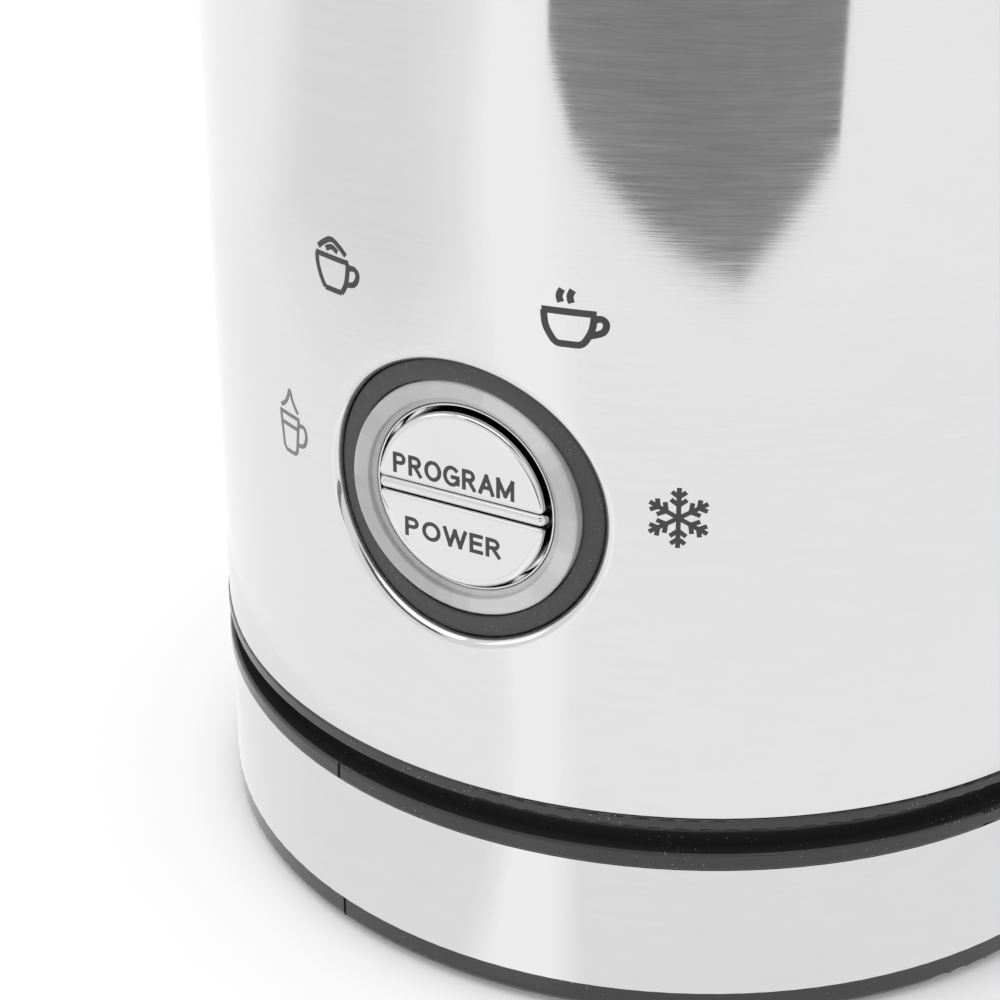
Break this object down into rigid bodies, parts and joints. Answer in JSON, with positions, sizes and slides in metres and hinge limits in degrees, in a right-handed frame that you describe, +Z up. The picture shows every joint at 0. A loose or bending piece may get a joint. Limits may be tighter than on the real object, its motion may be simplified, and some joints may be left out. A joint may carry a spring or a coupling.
{
  "type": "milk frother",
  "caption": "Cordless steel milk frother: cylindrical heated jug with a front button, clear lid and side handle on a round power base.",
  "frame": {"origin": "centre of the power base on the plane of its rubber feet", "axes": "+Z up, -Y the button side, +X the handle, -X the spout, +Y the cord outlet"},
  "size_m": [0.1538, 0.1069, 0.1836],
  "materials": {
    "shell_steel": "fine horizontal brushing, satin",
    "black_gloss": "moulded gloss black",
    "soft_rubber": "matt soft rubber",
    "gasket_rubber": "fine matt spark texture",
    "chrome_plate": "polished chrome plating",
    "frosted_ring": "frosted translucent light guide",
    "clear_plastic": "clear moulded plastic",
    "silicone": "translucent grey silicone",
    "non_stick": "dark grey non-stick coating",
    "bare_steel": "plain bright steel",
    "contact_brass": "bright brass",
    "black_matt": "moulded matt black",
    "white_plastic": "natural white plastic",
    "whisk_black": "moulded satin black",
    "cast_aluminium": "cast, as machined",
    "circuit_green": "green solder mask",
    "led_lens": "white lamp",
    "magnet_nickel": "nickel plated",
    "wire_red": "red wire sleeve"
  },
  "bodies": {
    "base": {"base_foot_plate": "black_gloss", "rubber_feet": "soft_rubber", "base_band": "shell_steel", "base_top_plate": "black_gloss", "base_connector": "black_matt", "centre_pin": "contact_brass", "contact_ring": "contact_brass", "base_terminals": "contact_brass", "base_screws": "bare_steel", "cord_gland": "soft_rubber", "cord_clamp": "black_matt", "clamp_screws": "bare_steel"},
    "jug_connector": {"contact_carrier": "black_matt", "sleeve_contact": "contact_brass", "centre_contact": "contact_brass"},
    "jug": {"jug_shell": "shell_steel", "jug_bottom_cover": "black_gloss", "jug_socket": "black_matt", "bottom_screws": "bare_steel", "inner_cup": "non_stick", "whisk_pin": "bare_steel", "rim_ring": "black_gloss", "heating_plate": "cast_aluminium", "heating_element": "cast_aluminium", "thermostat": "bare_steel", "thermal_fuse": "black_matt", "motor_bracket": "bare_steel", "motor_can": "bare_steel", "motor_end_cap": "black_matt", "motor_screws": "bare_steel", "power_board": "circuit_green", "power_relay": "black_matt", "board_screws": "bare_steel", "motor_leads": "wire_red", "control_housing": "black_matt", "gasket": "gasket_rubber", "light_ring": "frosted_ring", "button_frame": "chrome_plate", "control_board": "circuit_green", "leds": "led_lens", "function_switch": "black_matt", "power_switch": "black_matt", "handle_core": "black_gloss", "handle_grip": "soft_rubber", "handle_screws": "bare_steel"},
    "rotor": {"motor_rotor": "bare_steel", "magnet_carrier": "white_plastic", "carrier_magnets": "magnet_nickel"},
    "bush": {"whisk_bush": "white_plastic"},
    "whisk": {"whisk_hub": "whisk_black", "whisk_magnets": "magnet_nickel", "whisk_coil": "bare_steel"},
    "function_key": {"function_button": "chrome_plate", "function_plunger": "white_plastic"},
    "power_key": {"power_button": "chrome_plate", "power_plunger": "white_plastic"},
    "lid": {"lid_cover": "clear_plastic", "lid_seal": "silicone", "lid_knob": "black_gloss", "knob_screw": "bare_steel"}
  },
  "joints": [
    {"name": "jug_lift", "type": "slide", "parent": "base", "child": "jug_connector", "axis": [0, 0, 1], "range_m": [0, 0.06]},
    {"name": "jug_turn", "type": "hinge", "parent": "jug_connector", "child": "jug", "pos_m": [0, 0, 0.0365], "axis": [0, 0, 1], "continuous": true},
    {"name": "lid_lift", "type": "slide", "parent": "jug", "child": "lid", "axis": [0, 0, 1], "range_m": [0, 0.06]},
    {"name": "motor_spin", "type": "hinge", "parent": "jug", "child": "rotor", "pos_m": [0, 0, 0.06], "axis": [0, 0, 1], "continuous": true},
    {"name": "whisk_lift", "type": "slide", "parent": "jug", "child": "bush", "axis": [0, 0, 1], "range_m": [0, 0.045]},
    {"name": "whisk_spin", "type": "hinge", "parent": "bush", "child": "whisk", "pos_m": [0, 0, 0.085], "axis": [0, 0, 1], "continuous": true},
    {"name": "function_press", "type": "slide", "parent": "jug", "child": "function_key", "axis": [0, 1, 0], "range_m": [0, 0.0006], "stiffness_N_per_m": 1500},
    {"name": "power_press", "type": "slide", "parent": "jug", "child": "power_key", "axis": [0, 1, 0], "range_m": [0, 0.0006], "stiffness_N_per_m": 1500}
  ],
  "couplings": [
    {"joint": "whisk_spin", "follows": "motor_spin", "ratio": 1}
  ]
}
